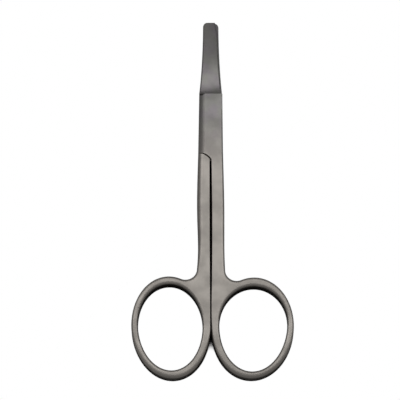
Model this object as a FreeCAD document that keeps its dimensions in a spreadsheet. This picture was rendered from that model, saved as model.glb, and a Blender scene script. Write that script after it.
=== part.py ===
import FreeCAD, Part
import Sketcher
import math
import os

# Surgical scissors with curved, blunt blades, lying flat and closed.
# Two forgings are joined by a screw: each is a blade, half of a lap joint, a shank and a finger ring.
# Both forgings are drawn in one pattern frame: the pivot on the Z axis, the blade towards +Y,
# the shank on the +X side and the outer face up at z = depth.
# The upper half lies as drawn. The lower half is the same pattern turned over about the Y axis,
# except that its blade curves towards its inner face, so that both blades follow one curve.

os.makedirs("parts", exist_ok=True)
doc = FreeCAD.newDocument("surgical_scissors")
Vec = FreeCAD.Vector

SIZES = {
    # thickness of the handles, and the play between the two lap faces and between the two blades
    "depth": 4.6,
    "lap_play": 0.04,
    "blade_play": 0.16,
    # blades
    "blade_reach": 33.75,
    "blade_start": 11.4,
    "blade_bend": 50.0,
    "blade_end": 0.95,
    "step_drop": 0.42,
    "step_run": 1.25,
    "base_half": 3.6,
    "tip_half": 2.4,
    "side_sweep": 220.0,
    "edge_inset": 0.24,
    "spine_corner": 1.3,
    "edge_cut": 0.9,
    "edge_cut_length": 4.2,
    "blade_bevel": 0.4,
    # lap joint
    "upper_band_width": 2.1,
    "lower_band_width": 1.45,
    "band_kink": 25.0,
    "band_fall": 62.0,
    "corner_drop": 10.3,
    "shoulder_drop": 8.1,
    "shoulder_round": 6.3,
    "shoulder_gap": 0.4,
    "corner_round": 0.5,
    # shanks, with the slot between them
    "upper_slot_top": 0.16,
    "lower_slot_top": 0.38,
    "upper_slot_mid": 0.32,
    "lower_slot_mid": 0.4,
    "upper_slot_low": 0.13,
    "lower_slot_low": 0.27,
    "slot_mid_drop": 22.0,
    "slot_low_drop": 57.0,
    "bulge_drop": 28.7,
    "waist_drop": 39.5,
    "root_half": 4.28,
    "upper_shoulder_half": 3.75,
    "upper_bulge_half": 4.12,
    "upper_waist_half": 4.09,
    "lower_shoulder_half": 3.92,
    "lower_bulge_half": 4.22,
    "lower_waist_half": 3.96,
    # finger rings
    "upper_ring_drop": 64.47,
    "lower_ring_drop": 64.3,
    "upper_hole_width": 20.54,
    "lower_hole_width": 19.5,
    "upper_hole_length": 26.9,
    "lower_hole_length": 27.25,
    "upper_hole_rise": 1.6,
    "lower_hole_rise": 0.6,
    "hole_lean": 3.0,
    "hole_shift": 0.12,
    "upper_hole_drop": 0.36,
    "lower_hole_drop": 0.02,
    "ring_side": 2.14,
    "upper_ring_end": 2.53,
    "lower_ring_end": 2.545,
    "ring_lean": 4.8,
    "junction_round": 3.5,
    # rounded edges
    "hole_edge": 0.85,
    "ring_edge": 0.95,
    "ring_back_edge": 1.0,
    "lap_edge": 0.35,
    "shank_edge": 0.85,
    "slot_edge": 0.12,
    "back_edge": 2.0,
    "back_foot_edge": 1.4,
    # pivot screw
    "screw_half": 1.3,
    "thread_play": 0.02,
    "screw_play": 0.05,
    "head_half": 2.1,
    "head_height": 0.85,
    "head_sink": 0.05,
    "head_play": 0.1,
    "head_bevel": 0.15,
    "drive_width": 0.6,
    "drive_depth": 0.4,
    "end_cover": 0.45,
    "end_gap": 0.05,
}

sheet = doc.addObject("Spreadsheet::Sheet", "Sizes")
for row, (alias, value) in enumerate(SIZES.items(), 1):
    sheet.set("A%d" % row, alias)
    sheet.set("B%d" % row, str(value))
    sheet.setAlias("B%d" % row, alias)
doc.recompute()


def size(alias):
    return float(sheet.get(alias))


# The part's origin is the middle of its length, so the pivot lies ahead of it by this much.
RING_HALF = "Sizes.upper_hole_length / 2 + Sizes.upper_ring_end"
PIVOT_Y = "(Sizes.upper_ring_drop + %s - Sizes.blade_reach) / 2" % RING_HALF
# A cut that goes right through, whatever the blade's curve.
THROUGH = "Sizes.depth * 8"
FAR = size("depth") * 4
# How far a cutting outline stands clear of the steel that it cuts.
CLEAR = 1.0
# Where the ring's outline is split into two arcs, in degrees round from the end by the shank.
RING_SPLIT = 165
CLOSE = 1e-4


def plane_of(body, role):
    return [f for f in body.Origin.OriginFeatures if f.Role == role][0]


def new_sketch(body, name, role="XY_Plane", level=None):
    sketch = body.newObject("Sketcher::SketchObject", name)
    sketch.AttachmentSupport = [(plane_of(body, role), "")]
    sketch.MapMode = "FlatFace"
    if level:
        sketch.setExpression("AttachmentOffset.Base.z", level)
    return sketch


def tie(sketch, kind, name, formula, *where):
    """Adds a named dimension to a sketch and binds it to the sheet; the last of where is its value."""
    index = sketch.addConstraint(Sketcher.Constraint(kind, *where))
    sketch.renameConstraint(index, name)
    sketch.setExpression("Constraints." + name, formula)


def tie_point(sketch, curve, end, name, point, along_x, along_y):
    """Ties one end of a curve to the sheet in either direction or in both."""
    if along_x:
        tie(sketch, "DistanceX", name + "_x", along_x, -1, 1, curve, end, point.x)
    if along_y:
        tie(sketch, "DistanceY", name + "_y", along_y, -1, 1, curve, end, point.y)


def add_circle(sketch, formula, radius):
    index = sketch.addGeometry(Part.Circle(Vec(0, 0, 0), Vec(0, 0, 1), radius), False)
    sketch.addConstraint(Sketcher.Constraint("Coincident", index, 3, -1, 1))
    tie(sketch, "Radius", "radius", formula, index, radius)


def add_polygon(sketch, corners):
    """Closed outline of straight lines: line n runs from corner n to the next one."""
    count = len(corners)
    for i in range(count):
        sketch.addGeometry(Part.LineSegment(corners[i], corners[(i + 1) % count]), False)
    for i in range(count):
        sketch.addConstraint(Sketcher.Constraint("Coincident", i, 2, (i + 1) % count, 1))


def add_cut(body, name, profile, length=None, both_ways=False, reverse=False):
    """Pocket through the whole body, or of a length from the sheet."""
    cut = body.newObject("PartDesign::Pocket", name)
    cut.Profile = profile
    cut.Type = "Length" if length else "ThroughAll"
    cut.SideType = "Symmetric" if both_ways else "One side"
    cut.Reversed = reverse
    if length:
        cut.setExpression("Length", length)
    return cut


def circle_centre(start, end, radius, side):
    """Centre of the circle of a radius through two points, left (1) or right (-1) of the way."""
    chord = end - start
    half = chord.Length / 2
    left = Vec(-chord.y, chord.x, 0) / chord.Length
    return (start + end) * 0.5 + left * (side * math.sqrt(radius * radius - half * half))


def arc_about(start, end, centre):
    """The shorter arc from start to end about a centre."""
    radius = (start - centre).Length
    middle = (start - centre).normalize() + (end - centre).normalize()
    return Part.Arc(start, centre + middle.normalize() * radius, end)


def leaning_ellipse(centre, half_width, half_length, degrees):
    """Ellipse whose long axis leans from +Y towards +X; its turn 0 is at the end towards +Y."""
    lean = math.radians(degrees)
    long_end = centre + Vec(math.sin(lean), math.cos(lean), 0) * half_length
    side_end = centre + Vec(-math.cos(lean), math.sin(lean), 0) * half_width
    return Part.Ellipse(long_end, side_end, centre)


def spots_of(edge):
    """Two ends and the middle of an edge."""
    first = edge.FirstParameter
    last = edge.LastParameter
    return [edge.valueAt(t) for t in (first, last, (first + last) / 2)]


def is_level(edge, z):
    return all(abs(p.z - z) < CLOSE for p in spots_of(edge))


class Half:
    """One forging in the pattern frame. bend is 1 where the blade curves outwards, -1 inwards."""

    def __init__(self, name, other, bend):
        self.name = name
        self.other = other
        self.bend = bend
        self.body = doc.addObject("PartDesign::Body", name + "_forging")
        self.plan_ring()
        self.plan_joint()
        self.plan_outer_edge()
        self.plan_blade()
        self.add_handle()
        self.add_finger_hole()
        self.add_lap()
        self.add_blade()
        self.cut_outer_face()
        self.cut_inner_face()
        self.cut_spine_band()

    def own(self, alias):
        return size(self.name + "_" + alias)

    def sketch(self, name, role="XY_Plane", level=None):
        return new_sketch(self.body, self.name + "_" + name, role, level)

    def plan_ring(self):
        side = self.own("hole_width") / 2 + size("ring_side")
        self.ring_half_length = self.own("hole_length") / 2 + self.own("ring_end")
        lean = math.radians(size("ring_lean"))
        reach = math.hypot(side * math.cos(lean), self.ring_half_length * math.sin(lean))
        self.ring_centre = Vec(self.own("slot_low") + reach, -self.own("ring_drop"), 0)
        self.loop = leaning_ellipse(
            self.ring_centre, side, self.ring_half_length, size("ring_lean")
        )
        # The ring's nearest point to the other ring is where the slot's edge meets it.
        self.inmost_turn = math.atan2(side * math.cos(lean), -self.ring_half_length * math.sin(lean))
        self.inmost = self.loop.value(self.inmost_turn)
        self.plan_finger_hole()

    def plan_finger_hole(self):
        """An egg: two half ellipses that meet where it is widest, which is nearer to the shank."""
        lean = math.radians(size("hole_lean"))
        rise = self.own("hole_rise")
        middle = self.ring_centre + Vec(size("hole_shift"), -self.own("hole_drop"), 0)
        widest = middle + Vec(math.sin(lean), math.cos(lean), 0) * rise
        half_width = self.own("hole_width") / 2
        half_length = self.own("hole_length") / 2
        near = leaning_ellipse(widest, half_width, half_length - rise, size("hole_lean"))
        far = leaning_ellipse(widest, half_width, half_length + rise, size("hole_lean"))
        quarter = math.pi / 2
        self.hole_arcs = [
            Part.ArcOfEllipse(near, -quarter, quarter),
            Part.ArcOfEllipse(far, quarter, 3 * quarter),
        ]
        self.hole_line = Part.Wire([arc.toShape() for arc in self.hole_arcs])

    def plan_joint(self):
        """Corner at the slot, shoulder on the outer edge, and the arc between them."""
        self.corner = Vec(self.own("slot_top"), -size("corner_drop"), 0)
        self.shoulder = Vec(self.own("shoulder_half"), -size("shoulder_drop"), 0)
        self.shoulder_centre = circle_centre(
            self.corner, self.shoulder, size("shoulder_round"), -1
        )

    def shoulder_arc(self):
        return arc_about(self.corner, self.shoulder, self.shoulder_centre)

    def plan_outer_edge(self):
        """Outer edge from the blade's root to the ring, where a round junction leads into it."""
        root_x = size("root_half")
        junction = size("junction_round")
        rim = self.loop.toShape()

        def room(y):
            return Part.Vertex(root_x + junction, y, 0).distToShape(rim)[0] - junction

        high = self.ring_centre.y + self.ring_half_length + 2 * junction
        low = high
        while room(low) > 0:
            low -= junction / 8
        while high - low > 1e-9:
            middle = (low + high) / 2
            if room(middle) > 0:
                high = middle
            else:
                low = middle
        self.junction_centre = Vec(root_x + junction, high, 0)
        self.touch = Part.Vertex(self.junction_centre).distToShape(rim)[1][0][1]
        self.blade_root = Vec(size("base_half"), size("blade_start"), 0)
        bulge = Vec(self.own("bulge_half"), -size("bulge_drop"), 0)
        waist = Vec(self.own("waist_half"), -size("waist_drop"), 0)
        self.shank_foot = Vec(root_x, high, 0)
        edge = Part.BSplineCurve()
        edge.interpolate(
            Points=[self.blade_root, self.shoulder, bulge, waist, self.shank_foot],
            FinalTangent=Vec(0, -1, 0),
        )
        turn = edge.parameter(self.shoulder)
        self.shank_side = edge.copy()
        self.shank_side.segment(turn, edge.LastParameter)
        self.lap_side = edge.copy()
        self.lap_side.segment(edge.FirstParameter, turn)

    def plan_blade(self):
        """The blade's corners in plan, and the levels of its inner and outer faces."""
        start = size("blade_start")
        reach = size("blade_reach")
        self.spine_root = Vec(-size("base_half"), start, 0)
        self.edge_root = Vec(size("base_half") - size("edge_inset"), start, 0)
        self.tip_spine = Vec(-size("tip_half"), reach, 0)
        tip_x = size("tip_half") - size("edge_inset")
        self.cut_start = Vec(tip_x, reach - size("edge_cut_length"), 0)
        self.cut_end = Vec(tip_x - size("edge_cut"), reach, 0)
        self.past_tip = reach + CLEAR
        self.inner_level = (size("depth") + size("blade_play")) / 2
        self.ramp_top = Vec(start, size("depth"), 0)
        self.ramp_foot = Vec(start + size("step_run"), size("depth") - size("step_drop"), 0)
        run = reach - self.ramp_foot.x
        rise = self.inner_face(reach) + size("blade_end") - self.ramp_foot.y
        self.outer_sign = math.copysign(1, rise)
        self.outer_radius = (run * run + rise * rise) / (2 * abs(rise))

    def inner_face(self, y):
        radius = size("blade_bend")
        along = y - size("blade_start")
        return self.inner_level + self.bend * (radius - math.sqrt(radius**2 - along**2))

    def outer_face(self, y):
        sag = self.outer_radius - math.sqrt(self.outer_radius**2 - (y - self.ramp_foot.x) ** 2)
        return self.ramp_foot.y + self.outer_sign * sag

    def add_handle(self):
        """Shank and ring, the full depth, from the shoulder's arc to the far end of the ring."""
        slot_foot = Vec(self.own("slot_low"), -size("slot_low_drop"), 0)
        slot_middle = Vec(self.own("slot_mid"), -size("slot_mid_drop"), 0)
        slot_side = Part.BSplineCurve()
        slot_side.interpolate(
            Points=[slot_foot, slot_middle, self.corner], InitialTangent=Vec(0, 1, 0)
        )
        split = math.radians(RING_SPLIT)
        touch_turn = self.loop.parameter(self.touch) + 2 * math.pi
        plan = self.sketch("handle_plan")
        for curve in (
            self.shoulder_arc(),
            self.shank_side,
            arc_about(self.shank_foot, self.touch, self.junction_centre),
            Part.ArcOfEllipse(self.loop, split, touch_turn),
            Part.ArcOfEllipse(self.loop, self.inmost_turn, split),
            Part.LineSegment(self.inmost, slot_foot),
            slot_side,
        ):
            plan.addGeometry(curve, False)
        tie(plan, "Radius", "shoulder_round", "Sizes.shoulder_round", 0, size("shoulder_round"))
        tie(plan, "Radius", "junction_round", "Sizes.junction_round", 2, size("junction_round"))
        foot_x = "Sizes.%s_slot_low" % self.name
        tie_point(plan, 5, 2, "slot_foot", slot_foot, foot_x, "-Sizes.slot_low_drop")
        handle = self.body.newObject("PartDesign::Pad", self.name + "_handle")
        handle.Profile = plan
        handle.setExpression("Length", "Sizes.depth")

    def add_finger_hole(self):
        plan = self.sketch("hole_plan", level="Sizes.depth")
        for arc in self.hole_arcs:
            plan.addGeometry(arc, False)
        add_cut(self.body, self.name + "_finger_hole", plan)

    def add_lap(self):
        """Outer layer of the joint, which lies over the other half's lap up to its shoulder."""
        spine_half = size(self.other + "_shoulder_half")
        spine_foot = Vec(-spine_half, size("shoulder_gap") - size("shoulder_drop"), 0)
        hollow_radius = size("shoulder_round") + size("shoulder_gap")
        hollow_centre = circle_centre(spine_foot, self.corner, hollow_radius, -1)
        plan = self.sketch("lap_plan", level="(Sizes.depth + Sizes.lap_play) / 2")
        for curve in (
            self.shoulder_arc(),
            self.lap_side,
            Part.LineSegment(self.blade_root, self.spine_root),
            Part.LineSegment(self.spine_root, spine_foot),
            arc_about(spine_foot, self.corner, hollow_centre),
        ):
            plan.addGeometry(curve, False)
        tie_point(
            plan, 3, 1, "spine_root", self.spine_root, "-Sizes.base_half", "Sizes.blade_start"
        )
        tie_point(
            plan, 3, 2, "spine_foot", spine_foot, "-Sizes.%s_shoulder_half" % self.other, None
        )
        lap = self.body.newObject("PartDesign::Pad", self.name + "_lap")
        lap.Profile = plan
        lap.setExpression("Length", "(Sizes.depth - Sizes.lap_play) / 2")

    def add_blade(self):
        """The blade's plan, far above and below; its two faces are cut afterwards."""
        sweep = size("side_sweep")
        edge_centre = circle_centre(self.edge_root, self.cut_start, sweep, -1)
        spine_centre = circle_centre(self.tip_spine, self.spine_root, sweep, -1)
        plan = self.sketch("blade_plan")
        for curve in (
            arc_about(self.edge_root, self.cut_start, edge_centre),
            Part.LineSegment(self.cut_start, self.cut_end),
            Part.LineSegment(self.cut_end, self.tip_spine),
            arc_about(self.tip_spine, self.spine_root, spine_centre),
            Part.LineSegment(self.spine_root, self.edge_root),
        ):
            plan.addGeometry(curve, False)
        start_x = "Sizes.tip_half - Sizes.edge_inset"
        start_y = "Sizes.blade_reach - Sizes.edge_cut_length"
        end_x = start_x + " - Sizes.edge_cut"
        tie_point(plan, 1, 1, "cut_start", self.cut_start, start_x, start_y)
        tie_point(plan, 2, 1, "cut_end", self.cut_end, end_x, "Sizes.blade_reach")
        tie_point(plan, 2, 2, "tip_spine", self.tip_spine, "-Sizes.tip_half", "Sizes.blade_reach")
        tie_point(
            plan, 4, 1, "spine_root", self.spine_root, "-Sizes.base_half", "Sizes.blade_start"
        )
        tie(plan, "Radius", "spine_sweep", "Sizes.side_sweep", 3, sweep)
        blade = self.body.newObject("PartDesign::Pad", self.name + "_blade")
        blade.Profile = plan
        blade.SideType = "Symmetric"
        blade.setExpression("Length", THROUGH)

    def cut_outer_face(self):
        """A short ramp down from the lap, then one long arc out to the tip."""
        end = Vec(self.past_tip, self.outer_face(self.past_tip), 0)
        centre = Vec(self.ramp_foot.x, self.ramp_foot.y + self.outer_sign * self.outer_radius, 0)
        over_tip = Vec(self.past_tip, FAR, 0)
        over_root = Vec(self.ramp_top.x, FAR, 0)
        section = self.sketch("outer_section", "YZ_Plane")
        for curve in (
            Part.LineSegment(self.ramp_top, self.ramp_foot),
            arc_about(self.ramp_foot, end, centre),
            Part.LineSegment(end, over_tip),
            Part.LineSegment(over_tip, over_root),
            Part.LineSegment(over_root, self.ramp_top),
        ):
            section.addGeometry(curve, False)
        foot_y = "Sizes.blade_start + Sizes.step_run"
        foot_z = "Sizes.depth - Sizes.step_drop"
        tie_point(section, 0, 1, "ramp_top", self.ramp_top, "Sizes.blade_start", "Sizes.depth")
        tie_point(section, 0, 2, "ramp_foot", self.ramp_foot, foot_y, foot_z)
        add_cut(self.body, self.name + "_outer_cut", section, THROUGH, both_ways=True)

    def cut_inner_face(self):
        """One arc, which the other half's blade follows on its own side of the blade play."""
        root = Vec(size("blade_start"), self.inner_level, 0)
        end = Vec(self.past_tip, self.inner_face(self.past_tip), 0)
        centre = Vec(root.x, root.y + self.bend * size("blade_bend"), 0)
        under_tip = Vec(self.past_tip, -FAR, 0)
        under_root = Vec(root.x, -FAR, 0)
        section = self.sketch("inner_section", "YZ_Plane")
        for curve in (
            arc_about(root, end, centre),
            Part.LineSegment(end, under_tip),
            Part.LineSegment(under_tip, under_root),
            Part.LineSegment(under_root, root),
        ):
            section.addGeometry(curve, False)
        root_z = "(Sizes.depth + Sizes.blade_play) / 2"
        tie(section, "Radius", "blade_bend", "Sizes.blade_bend", 0, size("blade_bend"))
        tie_point(section, 3, 2, "root", root, "Sizes.blade_start", root_z)
        add_cut(self.body, self.name + "_inner_cut", section, THROUGH, both_ways=True)

    def cut_spine_band(self):
        """Rounded band along the spine of the lap joint, which meets the outer face in a faint line.

        It falls away from the face at one angle from level and ends at a steeper one."""
        wide = self.own("band_width")
        kink = math.radians(size("band_kink"))
        fall = math.radians(size("band_fall"))
        radius = wide / (math.sin(fall) - math.sin(kink))
        self.band_x = wide - size(self.other + "_shoulder_half")
        inner = Vec(self.band_x, size("depth"), 0)
        centre = inner + Vec(math.sin(kink), -math.cos(kink), 0) * radius
        outer = centre + Vec(-math.sin(fall), math.cos(fall), 0) * radius
        beyond = outer + Vec(-math.cos(fall), -math.sin(fall), 0) * CLEAR
        over_outer = Vec(beyond.x, size("depth") + CLEAR, 0)
        over_inner = Vec(inner.x, size("depth") + CLEAR, 0)
        section = self.sketch("spine_section", "XZ_Plane", "-Sizes.blade_start")
        for curve in (
            arc_about(inner, outer, centre),
            Part.LineSegment(outer, beyond),
            Part.LineSegment(beyond, over_outer),
            Part.LineSegment(over_outer, over_inner),
            Part.LineSegment(over_inner, inner),
        ):
            section.addGeometry(curve, False)
        band_x = "Sizes.%s_band_width - Sizes.%s_shoulder_half" % (self.name, self.other)
        tie_point(section, 4, 2, "inner", inner, band_x, "Sizes.depth")
        length = "Sizes.blade_start + Sizes.shoulder_drop + %g" % CLEAR
        add_cut(self.body, self.name + "_spine_band", section, length, reverse=True)

    def upright_at(self, edge, point):
        return all(math.hypot(p.x - point.x, p.y - point.y) < CLOSE for p in spots_of(edge))

    def round_off(self, name, alias, test):
        """Fillet on the edges of the body's last feature that pass a test."""
        last = self.body.Tip
        names = ["Edge%d" % n for n, e in enumerate(last.Shape.Edges, 1) if test(e)]
        fillet = self.body.newObject("PartDesign::Fillet", self.name + "_" + name)
        fillet.Base = (last, names)
        fillet.setExpression("Radius", "Sizes." + alias)
        self.body.Tip = fillet
        doc.recompute()

    def round_corners(self):
        """Blunt corner of the tip, and the joint's corner at the top of the slot."""
        layer = (size("depth") + size("lap_play")) / 2

        def at_joint(edge):
            return self.upright_at(edge, self.corner) and spots_of(edge)[2].z > layer

        self.round_off("spine_corner", "spine_corner", lambda e: self.upright_at(e, self.tip_spine))
        self.round_off("joint_corner", "corner_round", at_joint)

    def rims_blade(self, edge):
        """True for an edge of the blade's outer face, but not for the foot of its ramp."""
        spots = spots_of(edge)
        if edge.Length < 0.1 or not all(p.y > self.ramp_foot.x - CLOSE for p in spots):
            return False
        if all(abs(p.y - self.ramp_foot.x) < CLOSE for p in spots):
            return False
        return all(abs(p.z - self.outer_face(p.y)) < 1e-3 for p in spots)

    def bevel_blade(self):
        last = self.body.Tip
        names = ["Edge%d" % n for n, e in enumerate(last.Shape.Edges, 1) if self.rims_blade(e)]
        rim = self.body.newObject("PartDesign::Chamfer", self.name + "_blade_bevel")
        rim.Base = (last, names)
        rim.setExpression("Size", "Sizes.blade_bevel")
        self.body.Tip = rim
        doc.recompute()

    def is_in_hole(self, edge):
        middle = spots_of(edge)[2]
        return Part.Vertex(middle.x, middle.y, 0).distToShape(self.hole_line)[0] < CLOSE

    def rim_radius(self, point, outer_side, in_hole):
        """Radius of the rounded rim at a point: almost sharp along the slot, wide round the ring."""
        side_width = size("ring_side") - abs(size("hole_shift"))
        narrow = min(side_width, self.own("ring_end") - abs(self.own("hole_drop")))
        if in_hole:
            return min(size("hole_edge"), 0.45 * narrow)
        slot_side = max(self.own("slot_top"), self.own("slot_mid"), self.own("slot_low"))
        if point.y > self.inmost.y - 1e-3 and point.x < slot_side + 1e-3:
            return size("slot_edge")
        ring = min(size("ring_edge" if outer_side else "ring_back_edge"), 0.5 * narrow)
        if point.y < self.shank_foot.y - 1e-3:
            return ring
        if point.y < self.shank_foot.y + 1e-3:
            return ring if outer_side else size("back_foot_edge")
        if not outer_side:
            return min(size("back_edge"), 0.45 * size("depth"))
        if point.y > self.shoulder.y + 1e-3:
            return min(size("lap_edge"), 0.85 * size("edge_inset"))
        return size("shank_edge")

    def has_round_rim(self, edge, outer_side):
        """Rims of the handle, and of the joint's outer side, but not its band or screw seat."""
        if not is_level(edge, size("depth") if outer_side else 0):
            return False
        spots = spots_of(edge)
        if all(p.y > size("blade_start") - CLOSE for p in spots):
            return False
        if all(abs(p.x - self.band_x) < CLOSE for p in spots):
            return False
        if all(math.hypot(p.x, p.y) < size("head_half") + size("head_play") + CLOSE for p in spots):
            return False
        return outer_side or not all(p.y > self.corner.y - 1e-3 for p in spots)

    def round_rims(self):
        """The finished forging: the body with all its rims rounded."""
        rims = []
        for number, edge in enumerate(self.body.Shape.Edges, 1):
            if edge.Length < 1e-6:
                continue
            ends = spots_of(edge)[:2]
            for outer_side in (True, False):
                if self.has_round_rim(edge, outer_side):
                    in_hole = self.is_in_hole(edge)
                    radii = [self.rim_radius(p, outer_side, in_hole) for p in ends]
                    rims.append((number, *radii))
        whole = doc.addObject("Part::Fillet", self.name + "_half")
        whole.Base = self.body
        whole.Edges = rims
        doc.recompute()
        return whole


def upper_forging():
    """The half that lies on top, with a blind thread for the screw."""
    half = Half("upper", "lower", 1)
    plan = half.sketch("thread_plan", level="Sizes.depth - Sizes.end_cover")
    radius = size("screw_half") + size("thread_play")
    add_circle(plan, "Sizes.screw_half + Sizes.thread_play", radius)
    add_cut(half.body, "thread", plan)
    return finish(half)


def lower_forging():
    """The half underneath, with a bore and a sunk seat for the screw's head."""
    half = Half("lower", "upper", -1)
    plan = half.sketch("bore_plan", level="Sizes.depth")
    radius = size("screw_half") + size("screw_play")
    add_circle(plan, "Sizes.screw_half + Sizes.screw_play", radius)
    add_cut(half.body, "bore", plan)
    seat = half.sketch("seat_plan", level="Sizes.depth")
    radius = size("head_half") + size("head_play")
    add_circle(seat, "Sizes.head_half + Sizes.head_play", radius)
    add_cut(half.body, "head_seat", seat, "Sizes.head_height + Sizes.head_sink")
    return finish(half)


def finish(half):
    doc.recompute()
    half.round_corners()
    half.bevel_blade()
    return half.round_rims()


def turned_screw(body):
    """Head, shaft and end, turned about Z; the head is at the bottom."""
    low = size("head_sink")
    top = low + size("head_height")
    end = size("depth") - size("end_cover") - size("end_gap")
    cut = size("head_bevel")
    foot = Vec(0, low, 0)
    bevel = Vec(size("head_half") - cut, low, 0)
    rim = Vec(size("head_half"), low + cut, 0)
    seat = Vec(size("head_half"), top, 0)
    neck = Vec(size("screw_half"), top, 0)
    shaft_end = Vec(size("screw_half"), end, 0)
    section = new_sketch(body, "screw_section", "XZ_Plane")
    add_polygon(section, [foot, bevel, rim, seat, neck, shaft_end, Vec(0, end, 0)])
    top_z = "Sizes.head_sink + Sizes.head_height"
    end_z = "Sizes.depth - Sizes.end_cover - Sizes.end_gap"
    tie_point(section, 0, 1, "foot", foot, None, "Sizes.head_sink")
    tie_point(section, 1, 1, "bevel", bevel, "Sizes.head_half - Sizes.head_bevel", None)
    tie_point(section, 2, 1, "rim", rim, "Sizes.head_half", "Sizes.head_sink + Sizes.head_bevel")
    tie_point(section, 3, 1, "seat", seat, None, top_z)
    tie_point(section, 4, 1, "neck", neck, "Sizes.screw_half", None)
    tie_point(section, 5, 1, "end", shaft_end, None, end_z)
    turned = body.newObject("PartDesign::Revolution", "turned_screw")
    turned.Profile = section
    turned.ReferenceAxis = (section, ["V_Axis"])
    turned.Angle = 360


def drive_slot(body):
    """Straight slot across the screw's head."""
    wide = size("drive_width") / 2
    long = size("head_half") + CLEAR
    low = Vec(-long, -wide, 0)
    high = Vec(long, wide, 0)
    plan = new_sketch(body, "drive_plan", level="Sizes.head_sink")
    add_polygon(plan, [low, Vec(long, -wide, 0), high, Vec(-long, wide, 0)])
    tie_point(plan, 0, 1, "low", low, "-Sizes.head_half - %g" % CLEAR, "-Sizes.drive_width / 2")
    tie_point(plan, 2, 1, "high", high, "Sizes.head_half + %g" % CLEAR, "Sizes.drive_width / 2")
    add_cut(body, "drive_slot", plan, "Sizes.drive_depth", reverse=True)


def pivot_screw():
    """The head seats in the lower half from below, and the end stops inside the upper half."""
    body = doc.addObject("PartDesign::Body", "screw")
    turned_screw(body)
    drive_slot(body)
    doc.recompute()
    return body


nodes = {
    "upper_half": upper_forging(),
    "lower_half": lower_forging(),
    "pivot_screw": pivot_screw(),
}

# The lower half is turned over, so that its outer face lies on the table.
turned_over = FreeCAD.Rotation(Vec(0, 1, 0), 180)
nodes["lower_half"].Placement = FreeCAD.Placement(Vec(0, 0, size("depth")), turned_over)
nodes["lower_half"].setExpression("Placement.Base.z", "Sizes.depth")
for name, node in nodes.items():
    node.Label = name
    node.setExpression("Placement.Base.y", PIVOT_Y)
doc.recompute()

for thing in doc.Objects:
    if "Invalid" in thing.State or "Error" in thing.State:
        raise RuntimeError(thing.Name + " failed: " + ", ".join(thing.State))
for body in doc.findObjects("PartDesign::Body"):
    before = None
    for feature in body.Group:
        if not feature.isDerivedFrom("PartDesign::Feature"):
            continue
        volume = feature.Shape.Volume
        if feature.TypeId == "PartDesign::Pocket" and volume > before - 1e-3:
            raise RuntimeError(feature.Name + " cuts nothing")
        before = volume
for name, node in nodes.items():
    shape = node.Shape
    if shape.isNull() or not shape.isValid() or len(shape.Solids) != 1:
        raise RuntimeError(name + " isn't one valid solid")

for name, node in nodes.items():
    box = node.Shape.BoundBox
    print(name, "volume %.1f mm3" % node.Shape.Volume)
    print("  x %.2f to %.2f, y %.2f to %.2f" % (box.XMin, box.XMax, box.YMin, box.YMax))
    print("  z %.2f to %.2f" % (box.ZMin, box.ZMax))
    node.Shape.exportStep("parts/" + name + ".step")
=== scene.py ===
import bmesh
import bpy
import math
from bpy.props import FloatProperty, FloatVectorProperty, PointerProperty
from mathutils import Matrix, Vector


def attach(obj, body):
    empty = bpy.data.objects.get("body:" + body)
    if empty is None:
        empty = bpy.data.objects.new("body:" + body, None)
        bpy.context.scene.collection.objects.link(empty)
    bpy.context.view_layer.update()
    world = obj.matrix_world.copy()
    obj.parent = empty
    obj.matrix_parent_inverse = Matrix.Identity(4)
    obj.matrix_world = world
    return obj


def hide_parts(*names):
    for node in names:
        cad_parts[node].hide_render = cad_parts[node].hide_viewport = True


# Surgical scissors of satin stainless steel: two forgings and the screw that joins them.
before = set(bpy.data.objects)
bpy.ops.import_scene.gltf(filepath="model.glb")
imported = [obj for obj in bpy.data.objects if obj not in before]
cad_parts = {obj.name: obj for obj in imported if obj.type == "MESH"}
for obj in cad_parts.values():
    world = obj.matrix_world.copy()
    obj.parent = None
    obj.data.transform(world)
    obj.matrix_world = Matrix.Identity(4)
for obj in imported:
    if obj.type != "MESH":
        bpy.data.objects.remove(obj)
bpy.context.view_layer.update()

bl_info = {
    "name": "Surgical scissors",
    "version": (1, 0, 0),
    "blender": (4, 5, 0),
    "location": "View3D > Sidebar > Scissors",
    "description": (
        "Satin steel finish, photograph's view and soft light for a pair of surgical scissors"
    ),
    "category": "Object",
}

MM = 0.001

# The steel's patterns, per metre, and what each does to its colour, roughness and relief.
STAIN_SCALE = 160.0
STAIN_DARK = 0.81
STAIN_DEPTH = 0.2
STAIN_ROUGHNESS = -0.05
TINT_SCALE = 230.0
GRAIN_SCALE = 9000.0
GRAIN_ROUGHNESS = 0.08
GRAIN_STRENGTH = 0.08
GRAIN_HEIGHT = 0.02 * MM

# Corners this near to the step's place along the scissors lie on its line.
STEP_MARGIN = 0.02 * MM

# How far round a point of the floor the scissors' painted shadow reaches, to the eye and in what
# steel mirrors, the samples for it, and the shares of open sky from which the floor is painted
# black and white.
NEAR_REACH, NEAR_SAMPLES, NEAR_BLACK, NEAR_WHITE = 6 * MM, 64, 0.16, 0.3
WIDE_REACH, WIDE_SAMPLES, WIDE_BLACK, WIDE_WHITE = 40 * MM, 16, 0.66, 0.95

# Heights in the world, as the sine of the elevation.
WALL_TOP = 0.2
CEILING_FULL = 0.9

# Places and sizes of the lamps, in metres. The side lamps stand left and right alike.
MAIN_PLACE, MAIN_SIZE = (0, 0.22, 0.6), (1.1, 0.26)
FILL_PLACE, FILL_SIZE = (0, -0.4, 0.7), (0.6, 0.5)
SIDE_DISTANCE, SIDE_BACK, SIDE_HEIGHT, SIDE_SIZE = 0.62, 0.3, 0.5, (0.4, 0.4)
FLOOR_SIZE = 6.0
SENSOR_MM = 36.0
CLIP_NEAR, CLIP_FAR = 0.01, 10.0

WHITE = (1, 1, 1, 1)
BLACK = (0, 0, 0, 1)


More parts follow.
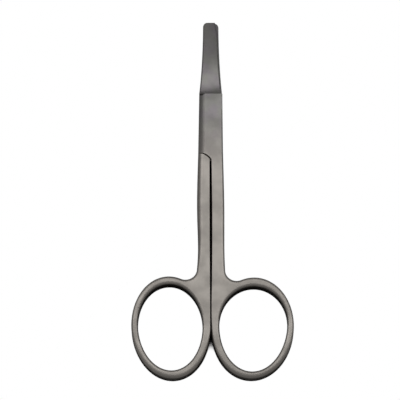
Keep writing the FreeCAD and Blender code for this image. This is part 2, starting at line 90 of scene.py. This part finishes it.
class Wire:
    """A shader socket that takes part in Python arithmetic: each operation adds a Math node."""

    def __init__(self, graph, socket):
        self.graph = graph
        self.socket = socket

    def __add__(self, other):
        return self.graph.maths("ADD", self, other)

    def __sub__(self, other):
        return self.graph.maths("SUBTRACT", self, other)

    def __rsub__(self, other):
        return self.graph.maths("SUBTRACT", other, self)

    def __mul__(self, other):
        return self.graph.maths("MULTIPLY", self, other)

    __radd__ = __add__
    __rmul__ = __mul__


class Graph:
    """The node tree of one material or world."""

    def __init__(self, owner):
        owner.use_nodes = True
        self.tree = owner.node_tree
        self.tree.nodes.clear()

    def node(self, kind, inputs=None, out=0, **settings):
        """Adds a node, makes its settings, then sets or links its sockets, by name or number."""
        node = self.tree.nodes.new(kind)
        for name, value in settings.items():
            setattr(node, name, value)
        for key, value in (inputs or {}).items():
            if isinstance(value, Wire):
                self.tree.links.new(value.socket, node.inputs[key])
            else:
                node.inputs[key].default_value = value
        return Wire(self, node.outputs[out]) if len(node.outputs) else node

    def maths(self, operation, *values):
        return self.node("ShaderNodeMath", dict(enumerate(values)), operation=operation)

    def smooth(self, value, low, high):
        """0 below low, 1 above high, smooth between."""
        return self.node(
            "ShaderNodeMapRange",
            {"Value": value, "From Min": low, "From Max": high},
            interpolation_type="SMOOTHSTEP",
        )

    def mix_colour(self, share, first, second, blend="MIX"):
        return self.node(
            "ShaderNodeMix",
            {0: share, 6: first, 7: second},
            out=2,
            data_type="RGBA",
            blend_type=blend,
        )

    def noise(self, where, scale, detail=2.0, rough=0.5):
        return self.node(
            "ShaderNodeTexNoise",
            {"Vector": where, "Scale": scale, "Detail": detail, "Roughness": rough},
        )

    def ray(self, kind):
        return self.node("ShaderNodeLightPath", out=kind)

    def seen_ray(self):
        """1 for rays by which the camera sees the backdrop, straight or through glass."""
        return self.ray("Is Camera Ray") + self.ray("Is Transmission Ray")

    def glow(self, colour, strength):
        return self.node("ShaderNodeEmission", {"Color": colour, "Strength": strength})

    def mix_shader(self, share, first, second):
        return self.node("ShaderNodeMixShader", {0: share, 1: first, 2: second})

    def open_sky(self, reach, samples):
        """Share of the sky that nothing covers within a reach."""
        return self.node(
            "ShaderNodeAmbientOcclusion", {"Distance": reach}, out="AO", samples=samples
        )


def opaque(colour):
    return (*colour, 1.0)


class SteelSettings(bpy.types.PropertyGroup):
    """Finish of the forgings and the screw."""

    colour: FloatVectorProperty(
        name="Steel",
        description="Colour of the satin steel of the shanks and rings",
        subtype="COLOR",
        size=3,
        min=0,
        max=1,
        default=(0.45, 0.42, 0.385),
    )
    blade_colour: FloatVectorProperty(
        name="Blade steel",
        description="Colour of the hardened steel of the blades and the joint",
        subtype="COLOR",
        size=3,
        min=0,
        max=1,
        default=(0.31, 0.304, 0.287),
    )
    blade_tint: FloatVectorProperty(
        name="Blade tint",
        description="Second colour of the blades and the joint, in faint clouds",
        subtype="COLOR",
        size=3,
        min=0,
        max=1,
        default=(0.3, 0.278, 0.291),
    )
    blade_colour_start: FloatProperty(
        name="Blade colour starts",
        description="Place along the scissors where the shank's colour starts to turn",
        subtype="DISTANCE",
        unit="LENGTH",
        default=8 * MM,
    )
    blade_colour_full: FloatProperty(
        name="Blade colour full",
        description="Place along the scissors from which all is of the blade's colour",
        subtype="DISTANCE",
        unit="LENGTH",
        default=32 * MM,
    )
    roughness: FloatProperty(
        name="Roughness",
        description="How far the satin finish spreads a reflection",
        default=0.36,
        min=0,
        max=1,
    )
    smooth_angle: FloatProperty(
        name="Smooth angle",
        description="Faces that meet at less than this angle are shaded as one surface",
        subtype="ANGLE",
        default=math.radians(24),
    )
    step_place: FloatProperty(
        name="Step place",
        description="Place along the scissors where the lap's face ends in a crisp line",
        subtype="DISTANCE",
        unit="LENGTH",
        default=34.75 * MM,
        precision=5,
    )
    step_angle: FloatProperty(
        name="Step angle",
        description="Faces that meet at that line at more than this angle are shaded apart",
        subtype="ANGLE",
        default=math.radians(8),
    )
    merge_distance: FloatProperty(
        name="Merge distance",
        description="Corners of the mesh nearer than this are one corner",
        subtype="DISTANCE",
        unit="LENGTH",
        default=0.002 * MM,
        precision=6,
    )


class StageSettings(bpy.types.PropertyGroup):
    """Camera, lamps and floor."""

    distance: FloatProperty(
        name="Camera distance",
        description="From the camera to the point that it looks at",
        subtype="DISTANCE",
        unit="LENGTH",
        default=0.9,
    )
    elevation: FloatProperty(
        name="Elevation",
        description="How far above the horizon the camera stands",
        subtype="ANGLE",
        default=math.radians(70),
    )
    view_width: FloatProperty(
        name="View width",
        description="Width of what the picture takes in, at the point that the camera looks at",
        subtype="DISTANCE",
        unit="LENGTH",
        default=122.92 * MM,
    )
    target: FloatVectorProperty(
        name="Target",
        description="The point that the camera looks at",
        subtype="XYZ",
        unit="LENGTH",
        size=3,
        default=(-3.354 * MM, 0.5475 * MM, 2.0 * MM),
        precision=5,
    )
    floor_colour: FloatVectorProperty(
        name="Floor",
        description="Colour of the floor",
        subtype="COLOR",
        size=3,
        min=0,
        max=1,
        default=(0.80, 0.80, 0.80),
    )
    main_lamp: FloatProperty(
        name="Main lamp",
        description="Brightness of the soft lamp overhead, where 1 is white",
        default=0.85,
        min=0,
    )
    fill_lamp: FloatProperty(
        name="Fill lamp",
        description="Brightness of the weaker lamp on the camera's side, where 1 is white",
        default=0.06,
        min=0,
    )
    side_lamps: FloatProperty(
        name="Side lamps",
        description="Brightness of the weak lamps to the left and right, where 1 is white",
        default=0.8,
        min=0,
    )
    ceiling: FloatProperty(
        name="Ceiling",
        description="Brightness of the room overhead, where 1 is white",
        default=0.3,
        min=0,
    )
    walls: FloatProperty(
        name="Walls",
        description="Brightness of the room near the horizon, where 1 is white",
        default=0.2,
        min=0,
    )
    floor_in_metal: FloatProperty(
        name="Floor in metal",
        description="How brightly the steel mirrors the floor and backdrop, where 1 is white",
        default=0.2,
        min=0,
        max=1,
    )


def smooth_copy(node, name, steel):
    """A copy of a forging or screw whose corners are merged, so that its curves shade smoothly."""
    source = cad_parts[node]
    mesh = source.data.copy()
    mesh.name = name
    bm = bmesh.new()
    bm.from_mesh(mesh)
    bmesh.ops.remove_doubles(bm, verts=bm.verts, dist=steel.merge_distance)
    for face in bm.faces:
        face.smooth = True
    for edge in bm.edges:
        at_step = all(abs(end.co.y - steel.step_place) < STEP_MARGIN for end in edge.verts)
        limit = steel.step_angle if at_step else steel.smooth_angle
        edge.smooth = edge.calc_face_angle(0) < limit
    bm.to_mesh(mesh)
    bm.free()
    piece = bpy.data.objects.new(name, mesh)
    bpy.context.scene.collection.objects.link(piece)
    piece.data.materials.clear()
    weigh = piece.modifiers.new("Weighted normals", "WEIGHTED_NORMAL")
    weigh.keep_sharp = True
    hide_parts(node)
    return piece


def satin_steel(steel, name="Satin steel"):
    """Bead-blasted, lightly brushed stainless steel."""
    material = bpy.data.materials.new(name)
    g = Graph(material)
    place = g.node("ShaderNodeTexCoord", out="Object")
    along = g.node("ShaderNodeSeparateXYZ", {"Vector": place}, out="Y")
    stains = g.smooth(g.noise(place, STAIN_SCALE, 3.0, 0.55), 0.3, 0.7)
    tints = g.smooth(g.noise(place, TINT_SCALE), 0.35, 0.65)
    grain = g.noise(place, GRAIN_SCALE, rough=0.6)
    blade = g.smooth(along, steel.blade_colour_start, steel.blade_colour_full)
    hardened = g.mix_colour(tints, opaque(steel.blade_colour), opaque(steel.blade_tint))
    plain = g.mix_colour(blade, opaque(steel.colour), hardened)
    stain = stains * STAIN_DEPTH + STAIN_DARK
    stain = g.node("ShaderNodeCombineColor", {channel: stain for channel in range(3)})
    colour = g.mix_colour(1.0, plain, stain, "MULTIPLY")
    rough = steel.roughness + (stains - 0.5) * STAIN_ROUGHNESS + (grain - 0.5) * GRAIN_ROUGHNESS
    bump = g.node(
        "ShaderNodeBump",
        {"Height": grain, "Strength": GRAIN_STRENGTH, "Distance": GRAIN_HEIGHT},
    )
    surface = g.node(
        "ShaderNodeBsdfPrincipled",
        {"Base Color": colour, "Metallic": 1.0, "Roughness": rough, "Normal": bump},
    )
    g.node("ShaderNodeOutputMaterial", {"Surface": surface})
    return material


class SCISSORS_OT_finish_halves(bpy.types.Operator):
    """Gives both forgings their satin steel"""

    bl_idname = "scissors.finish_halves"
    bl_label = "Finish halves"

    def execute(self, context):
        steel = context.scene.scissors_steel
        for node, body, slot in (
            ("lower_half", "lower", "steel_lower"),
            ("upper_half", "upper", "steel_upper"),
        ):
            piece = smooth_copy(node, node + "_satin", steel)
            piece.data.materials.append(satin_steel(steel))
            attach(piece, body)
        return {"FINISHED"}


class SCISSORS_OT_finish_screw(bpy.types.Operator):
    """Gives the pivot screw its turned steel"""

    bl_idname = "scissors.finish_screw"
    bl_label = "Finish screw"

    def execute(self, context):
        steel = context.scene.scissors_steel
        piece = smooth_copy("pivot_screw", "pivot_screw_turned", steel)
        piece.data.materials.append(satin_steel(steel, "Turned steel"))
        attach(piece, "upper")
        return {"FINISHED"}


def put(name, data, place, way):
    """A lamp or camera at a place, which looks along a way."""
    thing = bpy.data.objects.new(name, data)
    thing.location = place
    thing.rotation_mode = "QUATERNION"
    thing.rotation_quaternion = way.to_track_quat("-Z", "Y")
    bpy.context.scene.collection.objects.link(thing)
    return thing


def area_lamp(name, place, size, brightness):
    """A soft lamp aimed at the origin, whose face has a brightness, where 1 is white."""
    lamp = bpy.data.lights.new(name, "AREA")
    lamp.shape = "RECTANGLE"
    lamp.size, lamp.size_y = size
    lamp.energy = brightness * math.pi * size[0] * size[1]
    put(name, lamp, place, -Vector(place)).visible_camera = False


def white_floor(stage):
    """Floor that the camera sees as white, with the scissors' shadow painted on by an open-sky
    mask, over the lamps' own shadow on its plain part.

    The steel mirrors it too, more weakly, and as black where a wider open-sky mask paints the
    scissors' shade."""
    material = bpy.data.materials.new("Floor")
    g = Graph(material)
    # Painted shadow: where the scissors leave little open sky, the floor's colour is darkened to
    # black and its white glow turned off.
    painted_light_mask = g.smooth(g.open_sky(NEAR_REACH, NEAR_SAMPLES), NEAR_BLACK, NEAR_WHITE)
    # Painted shade in the steel's reflection: the floor that steel mirrors is black where this
    # wider open-sky mask is low.
    clear = g.smooth(g.open_sky(WIDE_REACH, WIDE_SAMPLES), WIDE_BLACK, WIDE_WHITE)
    shade = g.mix_colour(painted_light_mask, BLACK, opaque(stage.floor_colour))
    plain = g.node("ShaderNodeBsdfDiffuse", {"Color": shade})
    to_eye = g.mix_shader(g.seen_ray() * painted_light_mask, plain, g.glow(WHITE, 1.0))
    # The steel mirrors a painted shadow: a black glow where the scissors cover the sky, a weak
    # white glow further off.
    mirrored = g.mix_shader(clear, g.glow(BLACK, 0.0), g.glow(WHITE, stage.floor_in_metal))
    surface = g.mix_shader(g.ray("Is Glossy Ray"), to_eye, mirrored)
    g.node("ShaderNodeOutputMaterial", {"Surface": surface})
    return material


def room_light(stage):
    """Weak light that is brightest overhead, before a backdrop that the camera sees as white."""
    world = bpy.data.worlds.new("Room")
    g = Graph(world)
    way = g.node("ShaderNodeTexCoord", out="Generated")
    height = g.node("ShaderNodeSeparateXYZ", {"Vector": way}, out="Z")
    overhead = g.smooth(height, WALL_TOP, CEILING_FULL)
    low = 1.0 - g.smooth(height, 0.0, WALL_TOP)
    room = overhead * (stage.ceiling - stage.walls) + stage.walls
    backdrop = g.ray("Is Glossy Ray") * low * stage.floor_in_metal
    brightness = room + (1.0 - room) * g.seen_ray() + backdrop
    light = g.node("ShaderNodeBackground", {"Color": WHITE, "Strength": brightness})
    g.node("ShaderNodeOutputWorld", {"Surface": light})
    return world


class SCISSORS_OT_set_stage(bpy.types.Operator):
    """Adds the floor, the lamps, the room and the photograph's camera"""

    bl_idname = "scissors.set_stage"
    bl_label = "Set stage"

    def execute(self, context):
        scene = context.scene
        stage = scene.scissors_stage
        bpy.ops.mesh.primitive_plane_add(size=FLOOR_SIZE)
        floor = context.object
        floor.name = "floor"
        floor.data.materials.append(white_floor(stage))
        area_lamp("main_lamp", MAIN_PLACE, MAIN_SIZE, stage.main_lamp)
        area_lamp("fill_lamp", FILL_PLACE, FILL_SIZE, stage.fill_lamp)
        for side in (-1, 1):
            place = (side * SIDE_DISTANCE, SIDE_BACK, SIDE_HEIGHT)
            area_lamp("side_lamp", place, SIDE_SIZE, stage.side_lamps)
        scene.world = room_light(stage)
        camera = bpy.data.cameras.new("Camera")
        camera.sensor_width = SENSOR_MM
        camera.lens = SENSOR_MM * stage.distance / stage.view_width
        camera.clip_start, camera.clip_end = CLIP_NEAR, CLIP_FAR
        back = Vector((0, -math.cos(stage.elevation), math.sin(stage.elevation)))
        scene.camera = put("camera", camera, Vector(stage.target) + back * stage.distance, -back)
        scene.view_settings.view_transform = "Standard"
        return {"FINISHED"}


class SCISSORS_PT_panel(bpy.types.Panel):
    """Buttons and settings for the scissors"""

    bl_label = "Surgical scissors"
    bl_idname = "SCISSORS_PT_panel"
    bl_space_type = "VIEW_3D"
    bl_region_type = "UI"
    bl_category = "Scissors"

    def draw(self, context):
        for owner in (context.scene.scissors_steel, context.scene.scissors_stage):
            box = self.layout.box()
            for name in type(owner).__annotations__:
                box.prop(owner, name)
        for operator in OPERATORS:
            self.layout.operator(operator.bl_idname)


OPERATORS = (SCISSORS_OT_finish_halves, SCISSORS_OT_finish_screw, SCISSORS_OT_set_stage)
CLASSES = (SteelSettings, StageSettings, *OPERATORS, SCISSORS_PT_panel)


def register():
    for kind in CLASSES:
        bpy.utils.register_class(kind)
    bpy.types.Scene.scissors_steel = PointerProperty(type=SteelSettings)
    bpy.types.Scene.scissors_stage = PointerProperty(type=StageSettings)


def unregister():
    del bpy.types.Scene.scissors_stage
    del bpy.types.Scene.scissors_steel
    for kind in reversed(CLASSES):
        bpy.utils.unregister_class(kind)


def main():
    register()
    bpy.ops.scissors.finish_halves()
    bpy.ops.scissors.finish_screw()
    bpy.ops.scissors.set_stage()


if __name__ == "__main__":
    main()
